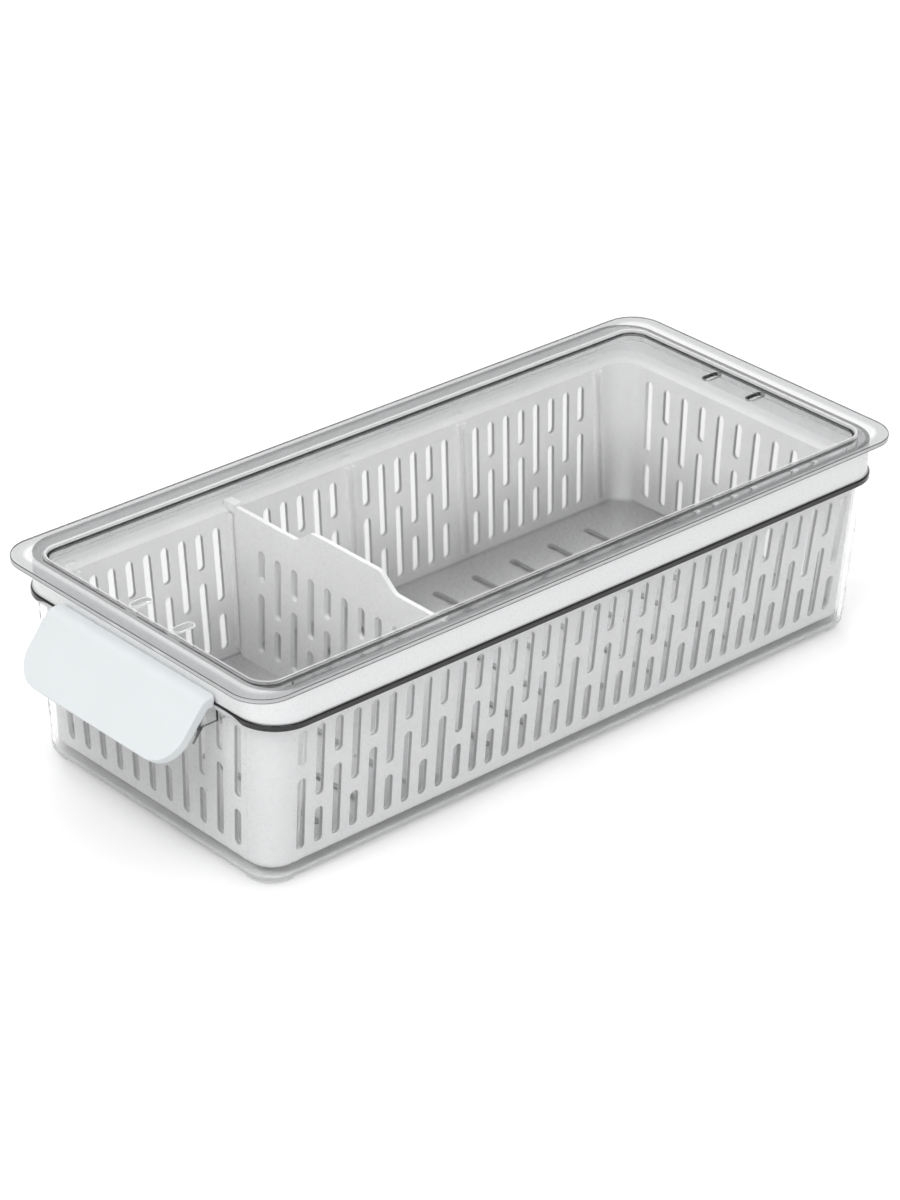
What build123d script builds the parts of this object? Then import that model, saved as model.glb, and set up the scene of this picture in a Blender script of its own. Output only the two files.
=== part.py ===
from build123d import *
import math
import os

os.makedirs("parts", exist_ok=True)

# Produce storage container: clear bin with a clip-on handle cover, slotted basket,
# divider and clear vented lid. Millimetres, +X right, +Y back, +Z up, handle at -Y.
# Sizes are read from the photo against a 170 mm wide lid.

# Clear bin
bin_foot_height = 0.8
bin_bottom_width = 151.0
bin_bottom_length = 348.6
bin_bottom_corner = 13.0
bin_top_width = 161.6
bin_top_length = 354.6
bin_top_corner = 16.0
bin_wall = 2.2
bin_floor = 2.4
bin_base_round = 3.4
rim_bottom = 76.9
rim_thickness = 2.9
rim_reach = 2.7
rim_round = 1.2
rim_lead_height = 3.4
rim_lead_width = 2.2
foot_reach = 15.5
foot_inset = 1.9

# Handle cover and the clear lip under it
hood_width = 100.5
hood_thickness = 3.0
hood_gap = 0.4
hood_flat = 2.9
hood_shoulder_radius = 6.4
hood_slope = 38.8
hood_skirt = 28.8
hood_corner = 14.6
hood_top_corner = 3.0
hood_rim = 1.8
hood_rim_depth = 4.2
hood_rim_gap = 0.2
hood_edge_round = 0.6
lip_gap = 0.1
lip_side_gap = 0.15
lip_thickness = 2.4
lip_bite = 3.0
stud_radius = 3.0
stud_spacing = 60.0
stud_clearance = 0.15
stud_start = 1.0
stud_proud = 1.1
stud_place = 12.0
rib_thickness = 2.4
rib_depth = 6.2
gusset_bottom = 69.6

# Basket
basket_floor_gap = 2.7
basket_foot_gap = 1.3
basket_rim_gap = 0.9
basket_wall = 2.0
basket_floor = 2.0
basket_base_round = 3.0
collar_setback = 1.2
collar_height = 13.9
collar_wall = 2.0
flare_gap = 0.4
shoulder_drop = 2.2
shoulder_rise = 1.7
slot_width = 4.4
slot_under_rim = 5.3
slot_over_floor = 4.7
slot_short = 17.6
slot_gap = 6.0
side_pitch = 9.6
side_margin = 8.0
end_pitch = 11.7
end_margin = 10.0
floor_slot_length = 32.0
floor_slot_gap = 9.0
floor_slot_pitch = 24.0
floor_slot_margin = 12.0

# Divider and its guides in the basket
guide_gap = 3.2
guide_rib = 1.1
guide_reach = 2.0
guide_over_floor = 4.2
guide_under_rim = 3.4
guide_step = 7
notch_drop = 0.6
notch_reach = 3.5
divider_play = 0.5
divider_wall_gap = 0.4
divider_rise = 0.5
divider_plateau_rise = 7.3
divider_plateau = 22.0
divider_slope = 9.5
divider_round = 5.5
divider_foot_round = 4.0
divider_pitch = 10.9
divider_margin = 10.0
divider_slot_drop = 14.9
divider_slot_lift = 7.2
divider_slot_short = 15.0
ear_play = 0.4
ear_gap = 0.5
ear_height = 2.6
ear_bite = 3.9
ear_drop = 1.3
ear_slope = 1.0

# Clear lid
flange_side = 2.7
flange_end = 8.8
flange_thickness = 2.0
flange_round = 0.5
lid_corner = 16.0
land_side = 12.3
land_end = 13.4
panel_corner = 9.0
panel_recess = 1.8
panel_thickness = 1.8
cove_round = 1.0
plug_wall = 1.8
plug_depth = 5.0
bead_end_gap = 13.2
bead_height = 1.6
bead_reach = 1.0
bead_drop = 2.5
vent_length = 10.0
vent_width = 4.0
vent_spacing = 27.4
vent_inset = 7.7


def taper(bottom, top, z, z_bottom, z_top):
    return bottom + (top - bottom) * (z - z_bottom) / (z_top - z_bottom)


# Heights that the pieces share
bin_floor_top = bin_foot_height + bin_floor
basket_bottom = bin_floor_top + basket_floor_gap
basket_floor_top = basket_bottom + basket_floor
rim_top = rim_bottom + rim_thickness
shoulder_bottom = rim_top - shoulder_drop
shoulder_top = rim_top + shoulder_rise
flare_bottom = rim_top - rim_lead_height
flange_bottom = rim_top + collar_height
flange_top = flange_bottom + flange_thickness
panel_top = flange_top - panel_recess
panel_bottom = panel_top - panel_thickness
plug_bottom = flange_bottom - plug_depth

# Outlines: each piece takes its size from the one that it sits in or on
rim_width = bin_top_width + 2 * rim_reach
rim_length = bin_top_length + 2 * rim_reach
rim_corner = bin_top_corner + rim_reach
basket_bottom_width = bin_bottom_width - 2 * (bin_wall + basket_foot_gap)
basket_bottom_length = bin_bottom_length - 2 * (bin_wall + basket_foot_gap)
basket_bottom_corner = bin_bottom_corner - bin_wall
basket_top_width = bin_top_width - 2 * (bin_wall + basket_rim_gap)
basket_top_length = bin_top_length - 2 * (bin_wall + basket_rim_gap)
basket_top_corner = bin_top_corner - bin_wall
collar_width = rim_width - 2 * collar_setback
collar_length = rim_length - 2 * collar_setback
collar_corner = rim_corner - collar_setback
lid_width = collar_width + 2 * flange_side
lid_length = collar_length + 2 * flange_end
panel_width = lid_width - 2 * land_side
panel_length = lid_length - 2 * land_end
flare_width = bin_top_width - 2 * (bin_wall - rim_lead_width + flare_gap)
flare_length = bin_top_length - 2 * (bin_wall - rim_lead_width + flare_gap)
flare_corner = bin_top_corner - bin_wall + rim_lead_width - flare_gap
well_half = basket_top_width / 2 - basket_wall
cut_reach = lid_length

# Handle cover: a flat root, a shoulder arc and a straight skirt that slopes outwards
slope_sin = math.sin(math.radians(hood_slope))
slope_cos = math.cos(math.radians(hood_slope))
hood_root = collar_length / 2 + hood_gap
hood_bend = rim_length / 2 + hood_flat
hood_top = rim_top + hood_thickness
shoulder_centre_z = hood_top - hood_shoulder_radius
hood_reach = hood_bend + hood_shoulder_radius * slope_cos + hood_skirt * slope_sin
lip_setback = hood_rim + lip_side_gap
lip_width = hood_width - 2 * lip_setback
lip_skirt = hood_skirt - lip_setback
lip_corner = hood_corner - lip_setback
lip_root = rim_length / 2 - lip_bite
lip_offset = hood_thickness + lip_gap
rib_middle = (lip_width - rib_thickness) / 2
rib_end = lip_skirt - lip_corner
stud_reach = hood_thickness - stud_start + lip_gap + lip_thickness + stud_proud

# The whole object, handle included, is centred on the origin
y_shift = (hood_reach - lid_length / 2) / 2

# Slot rows
slot_top = rim_bottom - slot_under_rim
slot_bottom = basket_floor_top + slot_over_floor
slot_long = slot_top - slot_bottom - slot_short - slot_gap
side_columns = math.floor((basket_bottom_length - 2 * side_margin) / side_pitch) + 1
end_columns = math.floor((basket_bottom_width - 2 * end_margin) / end_pitch) + 1
guide_end_step = side_columns // 2 - 1
guide_steps = (-guide_end_step, -guide_step, 0, guide_step, guide_end_step)
near_steps = [i - (side_columns - 1) / 2 for i in range(side_columns)]
far_steps = [i for i in range(-guide_end_step, guide_end_step) if i not in guide_steps]
end_steps = [i - (end_columns - 1) / 2 for i in range(end_columns)]
length_range = (basket_bottom_length, basket_top_length)
width_range = (basket_bottom_width, basket_top_width)
floor_pitch_x = floor_slot_length + floor_slot_gap
floor_columns = math.floor((basket_bottom_width - 2 * floor_slot_margin) / floor_pitch_x) + 1
floor_rows = math.floor((basket_bottom_length - 4 * floor_slot_margin) / floor_slot_pitch)

# Divider and guides
guide_positions = [step * side_pitch for step in guide_steps]
guide_bottom = basket_floor_top + guide_over_floor
guide_top = rim_top - guide_under_rim
notch_width = guide_gap + 2 * guide_rib
notch_floor = rim_top - notch_drop
notch_outer = well_half + notch_reach
divider_place = -guide_step * side_pitch
divider_thickness = guide_gap - 2 * divider_play
divider_low = rim_top + divider_rise
divider_high = divider_low + divider_plateau_rise
divider_shoulder = divider_plateau + divider_slope
divider_slot_top = divider_low - divider_slot_drop
divider_slot_bottom = basket_floor_top + divider_slot_lift
divider_slot_long = divider_slot_top - divider_slot_bottom - divider_slot_short - slot_gap
ear_width = notch_width - 2 * ear_play
ear_outer = notch_outer - ear_gap
ear_inner = well_half - ear_bite


def level(z):
    return Plane(origin=(0, y_shift, z))


def on_skirt(along, inside):
    # A point of the handle's section: so far down the skirt, so deep under its face
    out = hood_shoulder_radius - inside
    return (
        hood_bend + out * slope_cos + along * slope_sin,
        shoulder_centre_z + out * slope_sin - along * slope_cos,
    )


# Local x runs along the length, or out towards the handle, or across; local y is up
side_view = Plane(origin=(0, y_shift, 0), x_dir=(0, 1, 0), z_dir=(1, 0, 0))
hood_view = Plane(origin=(0, y_shift, 0), x_dir=(0, -1, 0), z_dir=(-1, 0, 0))
end_view = Plane(origin=(0, y_shift, 0), x_dir=(1, 0, 0), z_dir=(0, -1, 0))


def skirt_plane(along, inside):
    # Local x runs across, local y up the skirt, local z in towards the bin
    return Plane(
        origin=hood_view.from_local_coords(Vector(*on_skirt(along, inside))),
        x_dir=(1, 0, 0),
        z_dir=(0, slope_cos, -slope_sin),
    )


def hood_shell(inside, thickness, root, length):
    # The handle's section between two depths under its face
    radius = hood_shoulder_radius - inside
    with BuildSketch(hood_view) as section:
        with BuildLine():
            flat = Line((root, hood_top - inside), (hood_bend, hood_top - inside))
            shoulder = JernArc(flat @ 1, flat % 1, radius, hood_slope - 90)
            Line(shoulder @ 1, on_skirt(length, inside))
            tip = Line(on_skirt(length, inside), on_skirt(length, inside + thickness))
            inner = Line(tip @ 1, on_skirt(0, inside + thickness))
            back = JernArc(inner @ 1, inner % 1, radius - thickness, 90 - hood_slope)
            Polyline(back @ 1, (root, hood_top - inside - thickness), (root, hood_top - inside))
        make_face()
    return section.sketch


def face_depth(point):
    # How deep a point lies under the handle's face
    out = y_shift - point.Y - hood_bend
    rise = point.Z - shoulder_centre_z
    if out < 0:
        return hood_shoulder_radius - rise
    if out * slope_sin > rise * slope_cos:
        return hood_shoulder_radius - out * slope_cos - rise * slope_sin
    return hood_shoulder_radius - math.hypot(out, rise)


def tip_corners(part):
    # The two short edges at the corners of a skirt's end
    across_skirt = Axis((0, 0, 0), (0, slope_cos, -slope_sin))
    return part.edges().filter_by(across_skirt).group_by(Axis.Z)[0]


# Clear bin: tapered tray, thick rim, corner feet, handle lip with end gussets
with BuildPart() as bin_body:
    with BuildSketch(level(bin_foot_height)):
        RectangleRounded(bin_bottom_width, bin_bottom_length, bin_bottom_corner)
    with BuildSketch(level(rim_bottom)):
        RectangleRounded(bin_top_width, bin_top_length, bin_top_corner)
    loft()
    fillet(bin_body.faces().sort_by(Axis.Z)[0].edges(), bin_base_round)
    with BuildSketch(level(rim_bottom)):
        RectangleRounded(rim_width, rim_length, rim_corner)
    extrude(amount=rim_thickness)
    fillet(bin_body.faces().sort_by(Axis.Z)[-1].edges(), rim_round)
    # Lip under the handle cover
    extrude(hood_shell(lip_offset, lip_thickness, lip_root, lip_skirt), amount=lip_width / 2, both=True)
    fillet(tip_corners(bin_body), lip_corner)
    # Side ribs: a gusset to the wall, then down the skirt and round each corner of the lip
    wall_middle = bin_top_length / 2 - bin_wall / 2
    rib_start = lip_offset + lip_thickness / 2
    rib_inside = lip_offset + rib_depth
    rib_knee = (on_skirt(0, rib_inside)[1] - gusset_bottom) / slope_cos
    for hand in (-1, 1):
        with BuildSketch(hood_view.offset(hand * rib_middle)):
            with BuildLine():
                Polyline(
                    (wall_middle, hood_top - rib_start),
                    (hood_bend, hood_top - rib_start),
                    on_skirt(0, rib_start),
                    on_skirt(rib_end, rib_start),
                    on_skirt(rib_end, rib_inside),
                    on_skirt(rib_knee, rib_inside),
                    (wall_middle, gusset_bottom),
                    close=True,
                )
            make_face()
        extrude(amount=rib_thickness / 2, both=True)
    with BuildSketch(skirt_plane(rib_end, rib_start)):
        for hand in (-1, 1):
            with Locations((hand * (lip_width / 2 - lip_corner), 0)):
                Circle(lip_corner)
                Circle(lip_corner - rib_thickness, mode=Mode.SUBTRACT)
        Rectangle(lip_width - 2 * lip_corner, 2 * lip_corner, mode=Mode.SUBTRACT)
        Rectangle(lip_width, 2 * lip_corner, align=(Align.CENTER, Align.MIN), mode=Mode.SUBTRACT)
    extrude(amount=rib_inside - rib_start)
    # Snap holes for the cover
    with BuildSketch(skirt_plane(stud_place, stud_start)):
        with GridLocations(stud_spacing, 1, 2, 1):
            Circle(stud_radius + stud_clearance)
    extrude(amount=stud_reach * 2, mode=Mode.SUBTRACT)
    # Corner feet
    with BuildSketch(level(0)):
        RectangleRounded(
            bin_bottom_width - 2 * foot_inset, bin_bottom_length - 2 * foot_inset,
            bin_bottom_corner - foot_inset
        )
        Rectangle(bin_bottom_width - 2 * foot_reach, bin_bottom_length, mode=Mode.SUBTRACT)
        Rectangle(bin_bottom_width, bin_bottom_length - 2 * foot_reach, mode=Mode.SUBTRACT)
    extrude(amount=bin_floor_top - bin_floor / 2)
    # Hollow
    with BuildSketch(level(bin_floor_top)):
        RectangleRounded(
            bin_bottom_width - 2 * bin_wall, bin_bottom_length - 2 * bin_wall,
            bin_bottom_corner - bin_wall
        )
    with BuildSketch(level(rim_top)):
        RectangleRounded(
            bin_top_width - 2 * bin_wall, bin_top_length - 2 * bin_wall, bin_top_corner - bin_wall
        )
    loft(mode=Mode.SUBTRACT)
    # Lead-in at the rim's inner edge
    for z, grow in ((flare_bottom, 0), (rim_top, rim_lead_width)):
        with BuildSketch(level(z)):
            RectangleRounded(
                bin_top_width - 2 * (bin_wall - grow), bin_top_length - 2 * (bin_wall - grow),
                bin_top_corner - bin_wall + grow
            )
    loft(mode=Mode.SUBTRACT)

bin_body.part.label = "bin"
bin_body.part.color = Color(0.85, 0.87, 0.88, 0.35)
export_step(bin_body.part, "parts/bin.step")

# Soft cover that snaps over the lip: a plate with a rim round its sides and end
with BuildPart() as cover:
    extrude(hood_shell(0, hood_rim_depth, hood_root, hood_skirt), amount=hood_width / 2, both=True)
    fillet(tip_corners(cover), hood_corner)
    fillet(cover.edges().filter_by(Axis.Z).group_by(Axis.Y)[-1], hood_top_corner)
    face_edges = cover.edges().filter_by(
        lambda e: max(abs(face_depth(e @ place)) for place in (0, 0.5, 1)) < hood_gap / 10
    )
    fillet(
        face_edges.filter_by(Axis.X, reverse=True) + face_edges.filter_by(Axis.X).group_by(Axis.Z)[0],
        hood_edge_round,
    )
    with BuildPart(mode=Mode.SUBTRACT) as pocket:
        extrude(
            hood_shell(hood_thickness, hood_rim_depth - hood_thickness, hood_root, hood_skirt - hood_rim),
            amount=hood_width / 2 - hood_rim, both=True
        )
        fillet(tip_corners(pocket), hood_corner - hood_rim)
    # The rim stops short of the bin's own rim
    with BuildSketch(hood_view):
        with Locations((rim_length / 2 + hood_rim_gap, hood_top - hood_thickness)):
            Rectangle(hood_reach, hood_reach, align=(Align.MAX, Align.MAX))
    extrude(amount=hood_width / 2, both=True, mode=Mode.SUBTRACT)
    with BuildSketch(skirt_plane(stud_place, stud_start)):
        with GridLocations(stud_spacing, 1, 2, 1):
            Circle(stud_radius)
    extrude(amount=stud_reach)

cover.part.label = "handle_cover"
cover.part.color = Color(0.93, 0.95, 0.96)
export_step(cover.part, "parts/handle_cover.step")

# Slotted basket: tapered walls, sloped shoulder, collar, divider guides
with BuildPart() as basket:
    with BuildSketch(level(basket_bottom)):
        RectangleRounded(basket_bottom_width, basket_bottom_length, basket_bottom_corner)
    with BuildSketch(level(flare_bottom)):
        RectangleRounded(basket_top_width, basket_top_length, basket_top_corner)
    loft()
    fillet(basket.faces().sort_by(Axis.Z)[0].edges(), basket_base_round)
    with BuildSketch(level(flare_bottom)):
        RectangleRounded(basket_top_width, basket_top_length, basket_top_corner)
    with BuildSketch(level(rim_top)):
        RectangleRounded(flare_width, flare_length, flare_corner)
    loft()
    with BuildSketch(level(rim_top)):
        RectangleRounded(collar_width, collar_length, collar_corner)
    extrude(amount=collar_height)
    # Hollow: tapered well, sloped shoulder, straight collar
    with BuildSketch(level(basket_floor_top)):
        RectangleRounded(
            basket_bottom_width - 2 * basket_wall, basket_bottom_length - 2 * basket_wall,
            basket_bottom_corner - basket_wall
        )
    with BuildSketch(level(shoulder_bottom)):
        RectangleRounded(
            basket_top_width - 2 * basket_wall, basket_top_length - 2 * basket_wall,
            basket_top_corner - basket_wall
        )
    loft(mode=Mode.SUBTRACT)
    with BuildSketch(level(shoulder_bottom)):
        RectangleRounded(
            basket_top_width - 2 * basket_wall, basket_top_length - 2 * basket_wall,
            basket_top_corner - basket_wall
        )
    with BuildSketch(level(shoulder_top)):
        RectangleRounded(
            collar_width - 2 * collar_wall, collar_length - 2 * collar_wall,
            collar_corner - collar_wall
        )
    loft(mode=Mode.SUBTRACT)
    with BuildSketch(level(shoulder_top)):
        RectangleRounded(
            collar_width - 2 * collar_wall, collar_length - 2 * collar_wall,
            collar_corner - collar_wall
        )
    extrude(amount=flange_bottom - shoulder_top, mode=Mode.SUBTRACT)
    # Slots. Short and long ones alternate, and each column leans in with the taper of its wall.
    # On the far long wall the columns stand half a step along, with none behind a guide.
    for view, reach, both_ends, steps, pitch, first, (low, high) in (
        (end_view, cut_reach, True, end_steps, end_pitch, slot_long, width_range),
        (side_view, cut_reach, False, near_steps, side_pitch, slot_short, length_range),
        (side_view, -cut_reach, False, far_steps, side_pitch, slot_short, length_range),
    ):
        with BuildSketch(view):
            for step in steps:
                head = step * pitch
                foot = head * low / high
                lean = math.degrees(math.atan2(head - foot, flare_bottom - basket_bottom))
                upper = first if math.floor(step - steps[0]) % 2 == 0 else slot_short + slot_long - first
                lower = slot_short + slot_long - upper
                for length, z in ((upper, slot_top - upper / 2), (lower, slot_bottom + lower / 2)):
                    with Locations((taper(foot, head, z, basket_bottom, flare_bottom), z)):
                        SlotOverall(length, slot_width, rotation=90 - lean)
        extrude(amount=reach, both=both_ends, mode=Mode.SUBTRACT)
    # Drain slots in the floor
    with BuildSketch(level(basket_bottom)):
        with GridLocations(
            floor_pitch_x, floor_slot_pitch, floor_columns, floor_rows
        ):
            SlotOverall(floor_slot_length, slot_width)
    extrude(amount=basket_floor, mode=Mode.SUBTRACT)
    # Guide ribs up both long walls, in pairs
    rib_low, rib_high = (
        taper(basket_bottom_width, basket_top_width, z, basket_floor_top, shoulder_bottom) / 2
        - basket_wall
        for z in (guide_bottom, guide_top)
    )
    for place in guide_positions:
        for hand in (-1, 1):
            rib_y = y_shift + place + hand * (guide_gap + guide_rib) / 2
            with BuildSketch(Plane(origin=(0, rib_y, 0), x_dir=(1, 0, 0), z_dir=(0, -1, 0))):
                for end in (-1, 1):
                    with BuildLine():
                        Polyline(
                            (end * (rib_low + basket_wall / 4), guide_bottom),
                            (end * (rib_high + basket_wall / 4), guide_top),
                            (end * (rib_high - guide_reach), guide_top),
                            (end * (rib_low - guide_reach), guide_bottom),
                            close=True,
                        )
                    make_face()
            extrude(amount=guide_rib / 2, both=True)
    # Notches in the shoulder above the guides
    with BuildSketch(level(notch_floor)):
        for place in guide_positions:
            with Locations((0, place)):
                Rectangle(2 * notch_outer, notch_width)
    extrude(amount=shoulder_top - notch_floor, mode=Mode.SUBTRACT)

basket.part.label = "basket"
basket.part.color = Color(0.95, 0.95, 0.95)
export_step(basket.part, "parts/basket.step")

# Divider: slotted plate with a raised middle and an ear at each end
divider_view = Plane(
    origin=(0, y_shift + divider_place, 0), x_dir=(1, 0, 0), z_dir=(0, -1, 0)
)
with BuildPart() as divider:
    foot_half = basket_bottom_width / 2 - basket_wall - divider_wall_gap
    head_half = taper(
        basket_bottom_width, basket_top_width, shoulder_bottom, basket_floor_top, shoulder_bottom
    ) / 2 - basket_wall - divider_wall_gap
    divider_columns = math.floor(2 * (foot_half - divider_margin) / divider_pitch) + 1
    with BuildSketch(divider_view) as plate:
        with BuildLine():
            Polyline(
                (-foot_half, basket_floor_top),
                (-head_half, divider_low),
                (-divider_shoulder, divider_low),
                (-divider_plateau, divider_high),
                (divider_plateau, divider_high),
                (divider_shoulder, divider_low),
                (head_half, divider_low),
                (foot_half, basket_floor_top),
                close=True,
            )
        make_face()
        fillet(
            plate.vertices().filter_by(
                lambda v: v.Y > divider_low - 1 and abs(v.X) < divider_shoulder + 1
            ),
            divider_round,
        )
        fillet(plate.vertices().group_by(Axis.Y)[0], divider_foot_round)
        for i in range(divider_columns):
            across = (i - (divider_columns - 1) / 2) * divider_pitch
            upper = divider_slot_short if i % 2 == 0 else divider_slot_long
            lower = divider_slot_short + divider_slot_long - upper
            with Locations((across, divider_slot_top - upper / 2)):
                SlotOverall(upper, slot_width, rotation=90, mode=Mode.SUBTRACT)
            with Locations((across, divider_slot_bottom + lower / 2)):
                SlotOverall(lower, slot_width, rotation=90, mode=Mode.SUBTRACT)
    extrude(amount=divider_thickness / 2, both=True)
    # Ears that drop into the shoulder notches
    with BuildSketch(divider_view):
        for hand in (-1, 1):
            with BuildLine():
                Polyline(
                    (hand * ear_inner, notch_floor - ear_drop),
                    (hand * (well_half - ear_gap), notch_floor - ear_drop),
                    (hand * (well_half + ear_slope), notch_floor),
                    (hand * ear_outer, notch_floor),
                    (hand * ear_outer, notch_floor + ear_height),
                    (hand * ear_inner, notch_floor + ear_height),
                    close=True,
                )
            make_face()
    extrude(amount=ear_width / 2, both=True)

divider.part.label = "divider"
divider.part.color = Color(0.95, 0.95, 0.95)
export_step(divider.part, "parts/divider.step")

# Clear lid: flange, recessed panel, plug wall with snap beads, end vents
with BuildPart() as lid:
    with BuildSketch(level(flange_bottom)):
        RectangleRounded(lid_width, lid_length, lid_corner)
    extrude(amount=flange_thickness)
    with BuildSketch(level(plug_bottom)):
        RectangleRounded(
            panel_width + 2 * plug_wall, panel_length + 2 * plug_wall, panel_corner + plug_wall
        )
    extrude(amount=flange_bottom - plug_bottom)
    # Recess in the top, hollow under the panel
    with BuildSketch(level(panel_top)):
        RectangleRounded(panel_width, panel_length, panel_corner)
    extrude(amount=panel_recess, mode=Mode.SUBTRACT)
    with BuildSketch(level(plug_bottom)):
        RectangleRounded(panel_width, panel_length, panel_corner)
    extrude(amount=panel_bottom - plug_bottom, mode=Mode.SUBTRACT)
    fillet(
        lid.edges().filter_by(
            lambda e: abs(e.center().Z - panel_top) < 0.01 and abs(e.bounding_box().size.Z) < 0.01
        ),
        cove_round,
    )
    fillet(lid.faces().sort_by(Axis.Z)[-1].edges(), flange_round)
    # Snap beads along the long sides of the plug
    for hand in (-1, 1):
        with BuildSketch(side_view.offset(hand * (panel_width + plug_wall) / 2)):
            with Locations((0, flange_bottom - bead_drop)):
                SlotOverall(panel_length - 2 * bead_end_gap, bead_height)
        extrude(amount=hand * (plug_wall / 2 + bead_reach))
    # Vents near each end
    with BuildSketch(level(plug_bottom)):
        with GridLocations(vent_spacing, panel_length - 2 * vent_inset, 2, 2):
            SlotOverall(vent_length, vent_width, rotation=90)
    extrude(amount=flange_top - plug_bottom, mode=Mode.SUBTRACT)

lid.part.label = "lid"
lid.part.color = Color(0.88, 0.90, 0.91, 0.3)
export_step(lid.part, "parts/lid.step")
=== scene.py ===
"""Looks for the produce container: clear bin and lid, white basket and divider, soft handle cover."""

import math

import bmesh
import bpy
from mathutils import Matrix, Vector

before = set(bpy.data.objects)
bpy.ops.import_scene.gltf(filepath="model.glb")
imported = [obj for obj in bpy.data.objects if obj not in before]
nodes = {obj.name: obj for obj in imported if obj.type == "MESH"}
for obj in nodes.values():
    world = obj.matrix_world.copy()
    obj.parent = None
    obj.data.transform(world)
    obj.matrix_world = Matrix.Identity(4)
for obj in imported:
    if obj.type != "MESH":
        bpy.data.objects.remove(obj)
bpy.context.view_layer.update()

# Camera of the photograph, metres and degrees
CAMERA_TARGET = Vector((0.0657, -0.0593, 0.0934))
CAMERA_AZIMUTH = math.radians(46.92)
CAMERA_ELEVATION = math.radians(28.76)
CAMERA_ROLL = math.radians(1.41)
CAMERA_DISTANCE = 1.605
FRAME_HEIGHT_MM = 36.0
LENS_MM = 117.6

# Colours, linear
WHITE = (1.0, 1.0, 1.0, 1.0)
WHITE_PLASTIC = (0.92, 0.922, 0.925, 1.0)
# Painted shade: the basket's white, greyed for the collar's outside.
COLLAR_PAINTED_SHADE = (0.80, 0.805, 0.81, 1.0)
SOFT_WHITE = (0.70, 0.735, 0.745, 1.0)
FLOOR_WHITE = (0.80, 0.80, 0.80, 1.0)
# Painted shade inside the basket, along its slots' sides and at the divider's foot
SHADE = (0.06, 0.06, 0.065, 1.0)
BIN_TINT = (0.955, 0.958, 0.96, 1.0)
PANEL_TINT = WHITE
# Painted shade greying the clear flange, lighter towards its root.
FLANGE_PAINTED_SHADE = (0.68, 0.685, 0.69, 1.0)
FLANGE_ROOT_PAINTED_SHADE = (0.95, 0.952, 0.954, 1.0)
# Painted light: an opaque white laid on the clear plastic where it looks lit, at the rim, the base, the
# lid's edge, its step and its front vents.
PAINTED_LIGHT_WHITE = (0.86, 0.865, 0.87, 1.0)
# Painted dark: a band in the bin's rim standing in for its dark reflection, lines at the lid's recess
# foot standing in for dark refraction, and rings round the rear vents.
PAINTED_DARK = (0.012, 0.012, 0.014, 1.0)
# Grey streaks along the flange.
STREAK_GREY = (0.30, 0.30, 0.31, 1.0)
# Painted dark lines at the lid's flange edge, standing in for its dark reflections.
EDGE_PAINTED_DARK = (0.10, 0.10, 0.11, 1.0)
LAMP_THROUGH = (0.99, 0.99, 0.99, 1.0)

# Surfaces of the moulded plastics
PLASTIC_IOR = 1.49
DRIFT = 0.975
DRIFT_SCALE = 35.0
DRIFT_DETAIL = 3.0
DRIFT_RANGE = (0.3, 0.7)
GRAIN_DETAIL = 4.0
GRAIN_BUMP = 0.12
WHITE_FINISH = {"roughness": (0.22, 0.36), "grain": 900.0, "depth": 0.00006}
SOFT_FINISH = {"roughness": (0.42, 0.58), "grain": 1300.0, "depth": 0.00005}

# Surface of the clear plastics
CLEAR_IOR = 1.52
CLEAR_ROUGHNESS = (0.01, 0.05)
RIPPLE_SCALE = 22.0
RIPPLE_DETAIL = 2.0
RIPPLE_BUMP = 0.06
RIPPLE_DEPTH = 0.001

# Outlines in the object's own space, metres: half width, half length, corner radius
CENTRE_Y = 0.0092
BASKET_LOW = (0.072, 0.1708, 0.011)
BASKET_HIGH = (0.0777, 0.1742, 0.014)
FLANGE = (0.085, 0.1876, 0.016)
RECESS = (0.0727, 0.1742, 0.009)
FOOTPRINT = (0.0755, 0.1743, 0.013)

# Basket: heights and distances between which each share of painted shade changes
BASKET_Z = (0.0059, 0.0769)
BASKET_WALL = 0.002
INNER_FACE = (-0.9 * BASKET_WALL, -0.15 * BASKET_WALL)
SLOT_SIDE = (-0.5 * BASKET_WALL, 0.3 * BASKET_WALL, 0.15 * BASKET_WALL)
WALL_SHADE_Z = (0.009, 0.054)
WALL_SHADE = 0.42
FLOOR_SHADE_Z = (0.0085, 0.0105)
FLOOR_SHADE_REACH = (-0.045, -0.004)
FLOOR_SHADE = (0.54, 0.74)
SLOT_SHADE_Z = (0.0690, 0.0705)
SLOT_SHADE = 0.66
CORNER_X = (0.056, 0.058)
CORNER_Y = (0.154, 0.156)
COLLAR_Z = (0.0770, 0.0785)
COLLAR_REACH = (-0.001, 0.001)
DIVIDER_SHADE_Z = (0.006, 0.08)
DIVIDER_SHADE = 0.40

# Bin: the band of painted dark reflection in the rim, and the share of painted light in the rim and the
# base
RIM_Z = (0.0769, 0.0798)
RIM_SIDE_X = (0.055, 0.077)
RIM_BAND = (0.0010, RIM_Z[1] - RIM_Z[0] + 0.0010)
RIM_SOFT = 0.0002
RIM_TOP_SOFT = (RIM_Z[1] - 0.0002, RIM_Z[1] - 0.0001)
RIM_PAINTED_LIGHT = 0.5
BASE_Z = (0.003, 0.006)
BASE_PAINTED_LIGHT = 0.55

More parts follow.
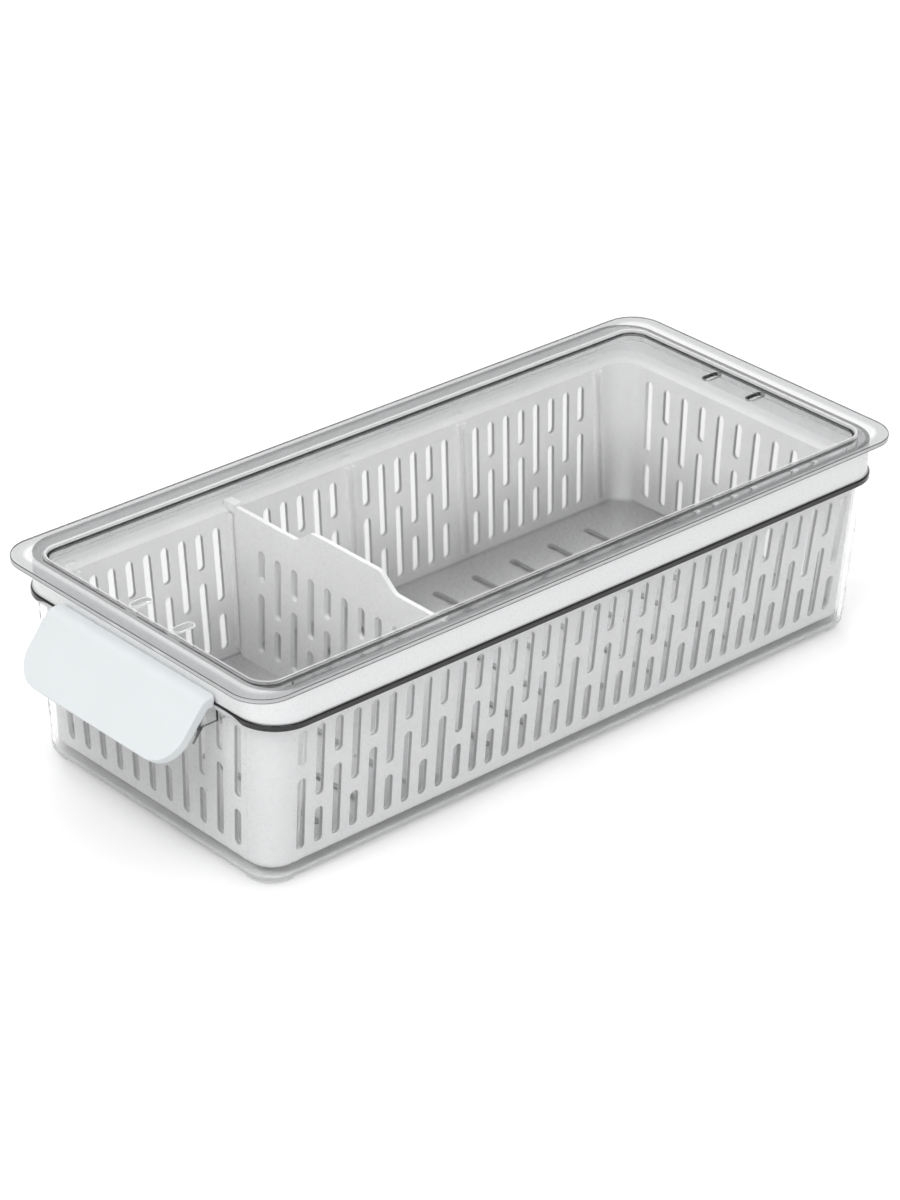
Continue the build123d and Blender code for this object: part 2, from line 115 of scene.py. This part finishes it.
# Lid: each line is a middle, a half width and a soft edge
# Painted dark lines at the recess's foot and the edge, painted light on the edge, the step and the
# front vents, painted dark round the rear vents
FOOT_LINE = (0.0, 0.0010, 0.0002)
FOOT_TOP_LINE = (0.0937, 0.0006, 0.0002)
FOOT_LOW_LINE = (0.0917, 0.0003, 0.0002)
EDGE_TOP_LINE = (0.0957, 0.0002, 0.0001)
EDGE_LOW_LINE = (0.0937, 0.0003, 0.0001)
EDGE_REACH = (-0.0005, -0.0003)
EDGE_PAINTED_LIGHT = 0.6
STEP_Z = (0.0943, 0.0946)
STEP_PAINTED_LIGHT = 0.65
FLANGE_REACH = (-0.0002, 0.0010)
FLANGE_ROOT_REACH = (-0.0065, -0.0050)
STREAK_SCALE = 1500.0
STREAK_RANGE = (0.5, 0.7)
STREAK_SHARE = 0.25
VENT_X = 0.0137
VENT_Y = 0.1665
VENT_STRAIGHT = 0.003
VENT_LINE = (0.002, 0.0004, 0.0002)
VENT_TURN_Y = (-0.01, 0.01)
VENT_FRONT_PAINTED_LIGHT = 0.75
VENT_REAR_PAINTED_DARK = 0.8

# Floor and room: the world's strength by height, for gloss and glass and for lighting
FLOOR_HALF = 6.0
FLOOR_DROP = 0.0004
FLOOR_GLOW = 0.24
# Painted shadow: the floor's glow fades over this reach round the footprint
PAINTED_SHADOW_REACH = (-0.012, 0.012)
ROOM_HEIGHT = (0.55, 0.85)
ROOM_STRENGTH = (0.42, 0.98)
SKY_HEIGHT = (0.0, 1.0)
SKY_STRENGTH = (0.32, 1.16)
NO_BOUNCE = 0.5

# Softboxes: name, place, size in metres, watts
LAMPS = (
    ("key", (0.3, -1.1, 1.5), 0.9, 10.0),
    ("fill", (1.7, -0.5, 0.9), 0.9, 4.5),
    ("back", (-1.2, 0.7, 2.0), 0.7, 6.0),
)
LAMP_TARGET = Vector((0.0, 0.0, 0.05))


def make_camera():
    """The photograph's camera: long lens, seen over the handle's right corner, rolled slightly."""
    az, el, roll = CAMERA_AZIMUTH, CAMERA_ELEVATION, CAMERA_ROLL
    back = Vector((math.sin(az) * math.cos(el), -math.cos(az) * math.cos(el), math.sin(el)))
    right = Vector((math.cos(az), math.sin(az), 0.0))
    up = back.cross(right)
    axis_x = right * math.cos(roll) + up * math.sin(roll)
    axis_y = up * math.cos(roll) - right * math.sin(roll)
    place = CAMERA_TARGET + back * CAMERA_DISTANCE
    data = bpy.data.cameras.new("camera")
    data.sensor_fit = "VERTICAL"
    data.sensor_height = FRAME_HEIGHT_MM
    data.lens = LENS_MM
    camera = bpy.data.objects.new("camera", data)
    bpy.context.scene.collection.objects.link(camera)
    camera.matrix_world = Matrix((
        (axis_x.x, axis_y.x, back.x, place.x),
        (axis_x.y, axis_y.y, back.y, place.y),
        (axis_x.z, axis_y.z, back.z, place.z),
        (0.0, 0.0, 0.0, 1.0),
    ))
    bpy.context.scene.camera = camera


def new_material(name):
    """An empty node material and its node tree."""
    material = bpy.data.materials.new(name)
    material.use_nodes = True
    material.node_tree.nodes.clear()
    return material, material.node_tree


def node(tree, kind, **values):
    """A node of the given kind with its inputs set by name."""
    made = tree.nodes.new(kind)
    for key, value in values.items():
        made.inputs[key.replace("_", " ")].default_value = value
    return made


def put(tree, value, socket):
    """Links a socket, or sets a plain value."""
    if isinstance(value, bpy.types.NodeSocket):
        tree.links.new(value, socket)
    else:
        socket.default_value = value


def math_node(tree, operation, a, b=0.0):
    """The result of one math operation on numbers or sockets."""
    made = tree.nodes.new("ShaderNodeMath")
    made.operation = operation
    put(tree, a, made.inputs[0])
    put(tree, b, made.inputs[1])
    return made.outputs[0]


def plus(tree, a, b):
    """The sum of two numbers or sockets."""
    return math_node(tree, "ADD", a, b)


def minus(tree, a, b):
    """The first less the second."""
    return math_node(tree, "SUBTRACT", a, b)


def times(tree, a, b):
    """The product of two numbers or sockets."""
    return math_node(tree, "MULTIPLY", a, b)


def larger(tree, a, b):
    """The larger of two numbers or sockets."""
    return math_node(tree, "MAXIMUM", a, b)


def absolute(tree, value):
    """The value without its sign."""
    return math_node(tree, "ABSOLUTE", value)


def hypotenuse(tree, a, b):
    """The length of the diagonal over two distances."""
    return math_node(tree, "SQRT", plus(tree, times(tree, a, a), times(tree, b, b)))


def ramp_value(tree, value, low, high, start=0.0, end=1.0):
    """The value mapped smoothly from one range to another, held at both ends."""
    made = tree.nodes.new("ShaderNodeMapRange")
    made.interpolation_type = "SMOOTHSTEP"
    for number, socket in zip((low, high, start, end), made.inputs[1:5]):
        put(tree, number, socket)
    put(tree, value, made.inputs[0])
    return made.outputs[0]


def line_at(tree, value, middle, half, soft):
    """1 within half of the middle, falling to 0 over the soft distance."""
    off = absolute(tree, minus(tree, value, middle))
    return ramp_value(tree, off, half, half + soft, 1.0, 0.0)


def own_space(tree):
    """The point in the piece's own space, and its x, y and z."""
    where = tree.nodes.new("ShaderNodeTexCoord")
    split = tree.nodes.new("ShaderNodeSeparateXYZ")
    tree.links.new(where.outputs["Object"], split.inputs[0])
    return where.outputs["Object"], split.outputs[0], split.outputs[1], split.outputs[2]


def from_middle(tree, y):
    """How far a point is from the tray's middle along its length."""
    return absolute(tree, minus(tree, y, CENTRE_Y))


def outline_distance(tree, x, y, half_x, half_y, corner):
    """How far a point is outside a rounded rectangle centred on the tray, inside as negative."""
    past_x = plus(tree, minus(tree, absolute(tree, x), half_x), corner)
    past_y = plus(tree, minus(tree, from_middle(tree, y), half_y), corner)
    outside = hypotenuse(tree, larger(tree, past_x, 0.0), larger(tree, past_y, 0.0))
    inside = math_node(tree, "MINIMUM", larger(tree, past_x, past_y), 0.0)
    return minus(tree, plus(tree, outside, inside), corner)


def mix_colour(tree, share, first, second):
    """The first colour where the share is 0, the second where it is 1."""
    made = tree.nodes.new("ShaderNodeMix")
    made.data_type = "RGBA"
    put(tree, share, made.inputs[0])
    put(tree, first, made.inputs[6])
    put(tree, second, made.inputs[7])
    return made.outputs[2]


def grained(tree, where, colour):
    """The colour, varied a little by broad noise in the piece's own space."""
    noise = node(tree, "ShaderNodeTexNoise", Scale=DRIFT_SCALE, Detail=DRIFT_DETAIL)
    tree.links.new(where, noise.inputs["Vector"])
    faint = tuple(c * DRIFT for c in colour[:3]) + (1.0,)
    return mix_colour(tree, ramp_value(tree, noise.outputs["Fac"], *DRIFT_RANGE), faint, colour)


def moulded_plastic(name, colour, finish, shade=None):
    """Moulded plastic: fine grain in bump and roughness, and a faint drift of colour."""
    material, tree = new_material(name)
    where, x, y, z = own_space(tree)
    base = grained(tree, where, colour)
    # Painted shade, where a shade function is given
    if shade:
        base = shade(tree, base, x, y, z)
    shader = node(tree, "ShaderNodeBsdfPrincipled", IOR=PLASTIC_IOR)
    tree.links.new(base, shader.inputs["Base Color"])
    fine = node(tree, "ShaderNodeTexNoise", Scale=finish["grain"], Detail=GRAIN_DETAIL)
    tree.links.new(where, fine.inputs["Vector"])
    gloss = ramp_value(tree, fine.outputs["Fac"], 0.0, 1.0, *finish["roughness"])
    tree.links.new(gloss, shader.inputs["Roughness"])
    bump = node(tree, "ShaderNodeBump", Strength=GRAIN_BUMP, Distance=finish["depth"])
    tree.links.new(fine.outputs["Fac"], bump.inputs["Height"])
    tree.links.new(bump.outputs["Normal"], shader.inputs["Normal"])
    out = tree.nodes.new("ShaderNodeOutputMaterial")
    tree.links.new(shader.outputs["BSDF"], out.inputs["Surface"])
    return material


def basket_half(tree, rise, axis):
    """The tapered basket's half width or half length at a share of its height."""
    return plus(tree, times(tree, rise, BASKET_HIGH[axis] - BASKET_LOW[axis]), BASKET_LOW[axis])


def basket_shade(tree, base, x, y, z):
    """Painted shade: darkens the inside towards its floor and along the slots' sides, and greys the
    collar's outside.
    """
    rise = math_node(tree, "DIVIDE", minus(tree, z, BASKET_Z[0]), BASKET_Z[1] - BASKET_Z[0])
    half_x = basket_half(tree, rise, 0)
    half_y = basket_half(tree, rise, 1)
    past = outline_distance(tree, x, y, half_x, half_y, BASKET_HIGH[2])
    # Painted shade inside, deeper towards the floor and near the walls' foot
    inner = ramp_value(tree, past, *INNER_FACE, 1.0, 0.0)
    on_walls = ramp_value(tree, z, *WALL_SHADE_Z, WALL_SHADE, 0.0)
    near_foot = ramp_value(tree, past, *FLOOR_SHADE_REACH, *FLOOR_SHADE)
    on_floor = times(tree, ramp_value(tree, z, *FLOOR_SHADE_Z, 1.0, 0.0), near_foot)
    inside = times(tree, inner, larger(tree, on_walls, on_floor))
    near_side = ramp_value(tree, absolute(tree, x), *CORNER_X)
    near_end = ramp_value(tree, from_middle(tree, y), *CORNER_Y)
    off_corner = minus(tree, 1.0, times(tree, near_side, near_end))
    in_slots = times(tree, ramp_value(tree, z, *SLOT_SHADE_Z, SLOT_SHADE, 0.0), off_corner)
    # Painted shade on the slots' sides
    painted_slot_shade = times(tree, line_at(tree, past, *SLOT_SIDE), in_slots)
    # Painted shade greying the collar's outside
    collar = times(tree, ramp_value(tree, z, *COLLAR_Z), ramp_value(tree, past, *COLLAR_REACH))
    base = mix_colour(tree, collar, base, COLLAR_PAINTED_SHADE)
    return mix_colour(tree, larger(tree, inside, painted_slot_shade), base, SHADE)


def divider_shade(tree, base, x, y, z):
    """Painted shade: darkens the divider towards its foot."""
    return mix_colour(tree, ramp_value(tree, z, *DIVIDER_SHADE_Z, DIVIDER_SHADE, 0.0), base, SHADE)


def clear_plastic(name, tint):
    """Clear moulded plastic that refracts, with faint flow ripples. Lamps shine through it."""
    material, tree = new_material(name)
    where, x, y, z = own_space(tree)
    shader = node(tree, "ShaderNodeBsdfPrincipled", IOR=CLEAR_IOR)
    # The tint's share of painted light makes the clear plastic opaque white there.
    colour, painted_light = tint(tree, x, y, z)
    tree.links.new(colour, shader.inputs["Base Color"])
    tree.links.new(minus(tree, 1.0, painted_light), shader.inputs["Transmission Weight"])
    ripple = node(tree, "ShaderNodeTexNoise", Scale=RIPPLE_SCALE, Detail=RIPPLE_DETAIL)
    tree.links.new(where, ripple.inputs["Vector"])
    gloss = ramp_value(tree, ripple.outputs["Fac"], 0.0, 1.0, *CLEAR_ROUGHNESS)
    tree.links.new(gloss, shader.inputs["Roughness"])
    bump = node(tree, "ShaderNodeBump", Strength=RIPPLE_BUMP, Distance=RIPPLE_DEPTH)
    tree.links.new(ripple.outputs["Fac"], bump.inputs["Height"])
    tree.links.new(bump.outputs["Normal"], shader.inputs["Normal"])
    through = node(tree, "ShaderNodeBsdfTransparent", Color=LAMP_THROUGH)
    path = tree.nodes.new("ShaderNodeLightPath")
    mix = tree.nodes.new("ShaderNodeMixShader")
    tree.links.new(path.outputs["Is Shadow Ray"], mix.inputs[0])
    tree.links.new(shader.outputs["BSDF"], mix.inputs[1])
    tree.links.new(through.outputs["BSDF"], mix.inputs[2])
    out = tree.nodes.new("ShaderNodeOutputMaterial")
    tree.links.new(mix.outputs["Shader"], out.inputs["Surface"])
    return material


def bin_tint(tree, x, y, z):
    """Clear, with painted light in the rim and base, and a painted dark reflection as a band in the rim
    that is thinner along the ends.
    """
    sideways = ramp_value(tree, absolute(tree, x), *RIM_SIDE_X)
    band = ramp_value(tree, sideways, 0.0, 1.0, *RIM_BAND)
    start = minus(tree, RIM_Z[1], band)
    above = ramp_value(tree, z, minus(tree, start, RIM_SOFT), start)
    painted_dark_band = times(tree, above, ramp_value(tree, z, *RIM_TOP_SOFT, 1.0, 0.0))
    in_rim = times(tree, ramp_value(tree, z, RIM_Z[0] - RIM_SOFT, RIM_Z[0]), RIM_PAINTED_LIGHT)
    painted_light = larger(tree, in_rim, ramp_value(tree, z, *BASE_Z, BASE_PAINTED_LIGHT, 0.0))
    return mix_colour(tree, painted_dark_band, mix_colour(tree, painted_light, BIN_TINT, PAINTED_LIGHT_WHITE), PAINTED_DARK), painted_light


def vent_ring(tree, x, y):
    """1 on the edge of each of the lid's four vents."""
    across = minus(tree, absolute(tree, x), VENT_X)
    along = absolute(tree, minus(tree, from_middle(tree, y), VENT_Y))
    past_end = larger(tree, minus(tree, along, VENT_STRAIGHT), 0.0)
    return line_at(tree, hypotenuse(tree, across, past_end), *VENT_LINE)


def lid_tint(tree, x, y, z):
    """Clear, with painted shade greying the flange, painted dark lines at the recess's foot, at the
    edge and round the rear vents, painted light on the edge, the step and the front vents, and grey
    streaks over the flange.
    """
    recess = outline_distance(tree, x, y, *RECESS)
    # Painted dark refraction lines at the recess's foot
    wall = line_at(tree, recess, *FOOT_LINE)
    foot_lines = larger(tree, line_at(tree, z, *FOOT_TOP_LINE), line_at(tree, z, *FOOT_LOW_LINE))
    dark = times(tree, wall, foot_lines)
    edge = outline_distance(tree, x, y, *FLANGE)
    # Painted dark lines and painted light at the flange's edge
    outer = ramp_value(tree, edge, *EDGE_REACH)
    edge_lines = larger(tree, line_at(tree, z, *EDGE_TOP_LINE), line_at(tree, z, *EDGE_LOW_LINE))
    fine = times(tree, outer, edge_lines)
    streak = tree.nodes.new("ShaderNodeTexNoise")
    streak.noise_dimensions = "1D"
    streak.inputs["Scale"].default_value = STREAK_SCALE
    tree.links.new(edge, streak.inputs["W"])
    over_flange = ramp_value(tree, recess, *FLANGE_REACH)
    streaks = ramp_value(tree, streak.outputs["Fac"], *STREAK_RANGE, 0.0, STREAK_SHARE)
    faint = times(tree, streaks, over_flange)
    # Painted light round the front vents and painted dark round the rear vents
    ring = vent_ring(tree, x, y)
    front_ring = times(tree, ring, ramp_value(tree, y, *VENT_TURN_Y, VENT_FRONT_PAINTED_LIGHT, 0.0))
    rear_ring = times(tree, ring, ramp_value(tree, y, *VENT_TURN_Y, 0.0, VENT_REAR_PAINTED_DARK))
    # Painted light on the recess's step
    step = times(tree, wall, ramp_value(tree, z, *STEP_Z, 0.0, STEP_PAINTED_LIGHT))
    painted_light = larger(tree, larger(tree, front_ring, times(tree, outer, EDGE_PAINTED_LIGHT)), step)
    # Painted shade over the flange, lighter near its root
    flange = mix_colour(tree, ramp_value(tree, edge, *FLANGE_ROOT_REACH), FLANGE_ROOT_PAINTED_SHADE, FLANGE_PAINTED_SHADE)
    base = mix_colour(tree, over_flange, PANEL_TINT, flange)
    base = mix_colour(tree, faint, base, STREAK_GREY)
    base = mix_colour(tree, rear_ring, mix_colour(tree, painted_light, base, PAINTED_LIGHT_WHITE), PAINTED_DARK)
    return mix_colour(tree, dark, mix_colour(tree, fine, base, EDGE_PAINTED_DARK), PAINTED_DARK), painted_light


def looked_at(tree):
    """1 for a ray that reached here with no diffuse bounce: straight, mirrored or refracted."""
    path = tree.nodes.new("ShaderNodeLightPath")
    return math_node(tree, "LESS_THAN", path.outputs["Diffuse Depth"], NO_BOUNCE)


def make_floor():
    """A wide pale floor that glows to white where it is seen and keeps the object's shadow; the glow
    fades under and around the footprint, a painted shadow.
    """
    mesh = bpy.data.meshes.new("floor")
    bm = bmesh.new()
    bmesh.ops.create_grid(bm, x_segments=4, y_segments=4, size=FLOOR_HALF)
    bm.to_mesh(mesh)
    bm.free()
    floor = bpy.data.objects.new("floor", mesh)
    floor.location = (0.0, 0.0, -FLOOR_DROP)
    bpy.context.scene.collection.objects.link(floor)
    material, tree = new_material("floor")
    _, x, y, _ = own_space(tree)
    under = outline_distance(tree, x, y, *FOOTPRINT)
    # The glow fades under and around the footprint, a painted shadow; seen through the clear bin it
    # darkens what lies below
    glow_share = times(tree, looked_at(tree), ramp_value(tree, under, *PAINTED_SHADOW_REACH))
    glow = node(tree, "ShaderNodeEmission", Color=WHITE)
    tree.links.new(times(tree, glow_share, FLOOR_GLOW), glow.inputs["Strength"])
    diffuse = node(tree, "ShaderNodeBsdfDiffuse", Color=FLOOR_WHITE)
    both = tree.nodes.new("ShaderNodeAddShader")
    tree.links.new(diffuse.outputs[0], both.inputs[0])
    tree.links.new(glow.outputs[0], both.inputs[1])
    out = tree.nodes.new("ShaderNodeOutputMaterial")
    tree.links.new(both.outputs[0], out.inputs["Surface"])
    mesh.materials.append(material)


def make_world():
    """White where the camera sees it, a dimmer room in gloss and glass, soft light elsewhere."""
    world = bpy.data.worlds.new("studio")
    bpy.context.scene.world = world
    world.use_nodes = True
    tree = world.node_tree
    tree.nodes.clear()
    where = tree.nodes.new("ShaderNodeTexCoord")
    split = tree.nodes.new("ShaderNodeSeparateXYZ")
    tree.links.new(where.outputs["Generated"], split.inputs[0])
    height = split.outputs[2]
    room = ramp_value(tree, height, *ROOM_HEIGHT, *ROOM_STRENGTH)
    light = ramp_value(tree, height, *SKY_HEIGHT, *SKY_STRENGTH)
    path = tree.nodes.new("ShaderNodeLightPath")
    seen = tree.nodes.new("ShaderNodeMix")
    tree.links.new(looked_at(tree), seen.inputs[0])
    tree.links.new(light, seen.inputs[2])
    tree.links.new(room, seen.inputs[3])
    shown = tree.nodes.new("ShaderNodeMix")
    tree.links.new(path.outputs["Is Camera Ray"], shown.inputs[0])
    tree.links.new(seen.outputs[0], shown.inputs[2])
    shown.inputs[3].default_value = 1.0
    back = node(tree, "ShaderNodeBackground", Color=WHITE)
    tree.links.new(shown.outputs[0], back.inputs["Strength"])
    out = tree.nodes.new("ShaderNodeOutputWorld")
    tree.links.new(back.outputs[0], out.inputs["Surface"])


def add_lamp(name, place, size, power):
    """A square softbox aimed at the object."""
    data = bpy.data.lights.new(name, "AREA")
    data.shape = "SQUARE"
    data.size = size
    data.energy = power
    lamp = bpy.data.objects.new(name, data)
    lamp.location = place
    lamp.rotation_euler = (LAMP_TARGET - Vector(place)).to_track_quat("-Z", "Y").to_euler()
    bpy.context.scene.collection.objects.link(lamp)


make_camera()
make_world()
make_floor()
for lamp_values in LAMPS:
    add_lamp(*lamp_values)

for name, material in (
    ("bin", clear_plastic("clear_plastic", bin_tint)),
    ("lid", clear_plastic("clear_lid", lid_tint)),
    ("basket", moulded_plastic("white_plastic", WHITE_PLASTIC, WHITE_FINISH, basket_shade)),
    ("divider", moulded_plastic("white_divider", WHITE_PLASTIC, WHITE_FINISH, divider_shade)),
    ("handle_cover", moulded_plastic("soft_white", SOFT_WHITE, SOFT_FINISH)),
):
    obj = nodes[name]
    if not obj.material_slots:
        obj.data.materials.append(material)
    for slot in obj.material_slots:
        slot.material = material

bpy.context.scene.view_settings.view_transform = "Standard"
